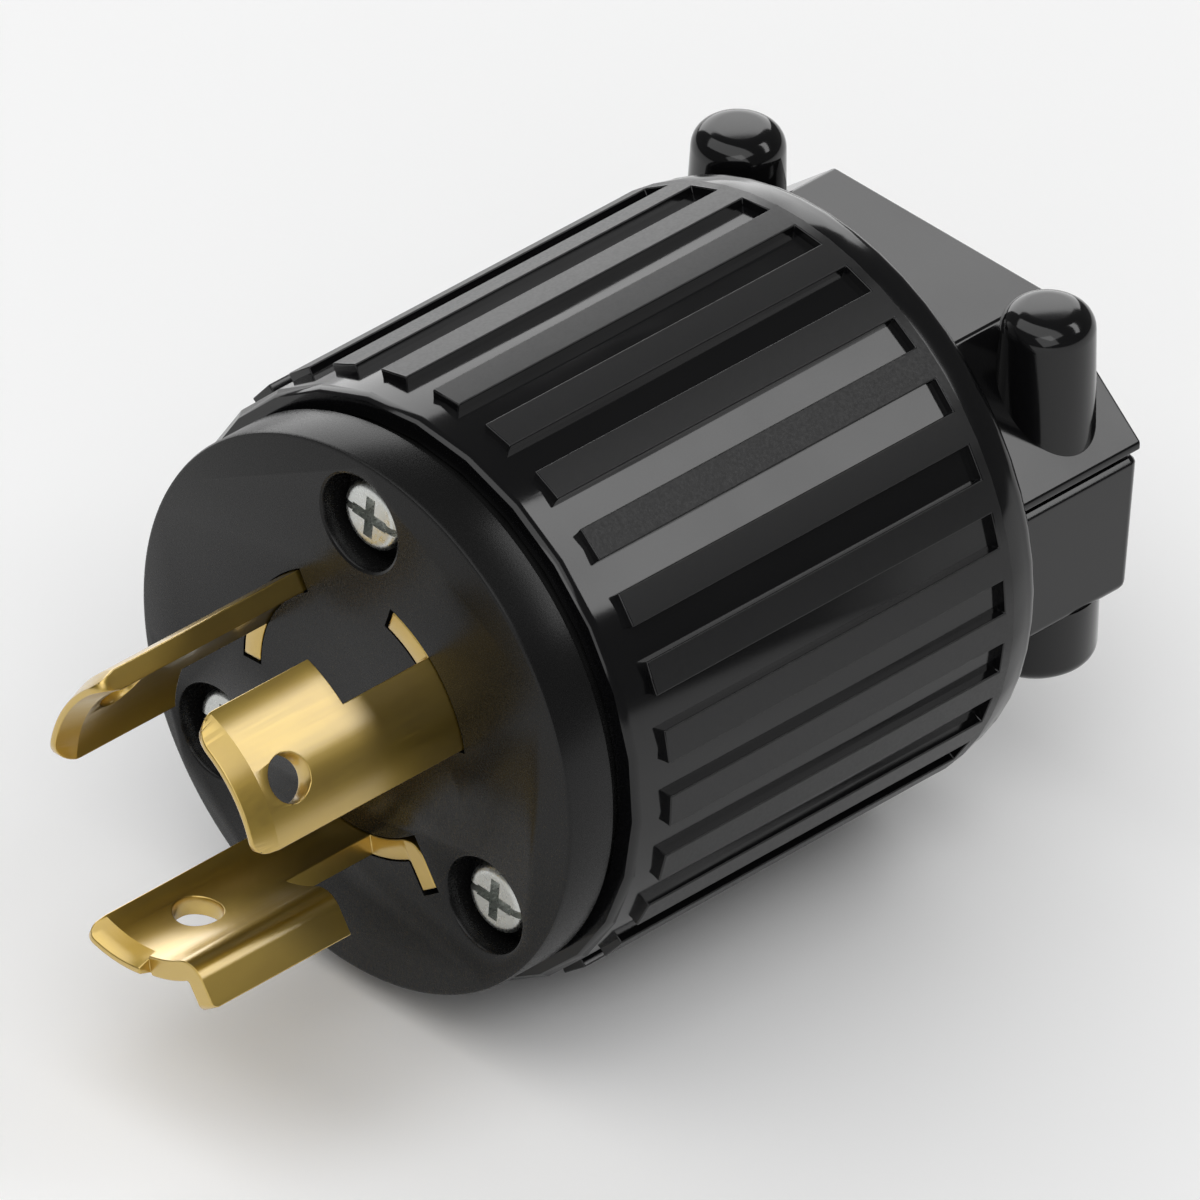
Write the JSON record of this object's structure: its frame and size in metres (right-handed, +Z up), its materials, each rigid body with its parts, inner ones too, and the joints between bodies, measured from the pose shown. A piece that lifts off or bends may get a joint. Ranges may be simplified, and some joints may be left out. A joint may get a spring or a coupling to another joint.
{
  "type": "locking power plug",
  "caption": "Round locking power plug with curved brass blades, a ribbed black shell and a cord clamp at its back.",
  "frame": {"origin": "centre of the plug's flat face, where the blades come out", "axes": "+Y along the plug's axis from the blades to the cord, +Z up as the plug lies on its ribs with the cord clamp's tall bosses on top, +X to the right seen from the blades"},
  "size_m": [0.0502, 0.0867, 0.0502],
  "materials": {
    "face_plastic": "matte moulded nylon",
    "shell_plastic": "glossy moulded nylon",
    "block_plastic": "matte moulded thermoset",
    "blade_brass": "satin, rolled",
    "screw_steel": "bright zinc plate",
    "insert_brass": "plain, turned",
    "seal_rubber": "soft, matte"
  },
  "bodies": {
    "root": {"front_body": "face_plastic", "rear_body": "block_plastic", "wire_divider": "block_plastic", "shell": "shell_plastic", "cord_clamp": "shell_plastic", "line_blade_x": "blade_brass", "line_blade_y": "blade_brass", "ground_blade": "blade_brass", "wire_plate_x": "screw_steel", "wire_plate_y": "screw_steel", "wire_plate_ground": "screw_steel", "line_terminal_screws": "insert_brass", "ground_terminal_screw": "screw_steel", "face_screws": "screw_steel", "shell_inserts": "insert_brass", "clamp_screws": "screw_steel", "clamp_washers": "screw_steel", "clamp_inserts": "insert_brass", "dust_seal": "seal_rubber"}
  },
  "joints": []
}
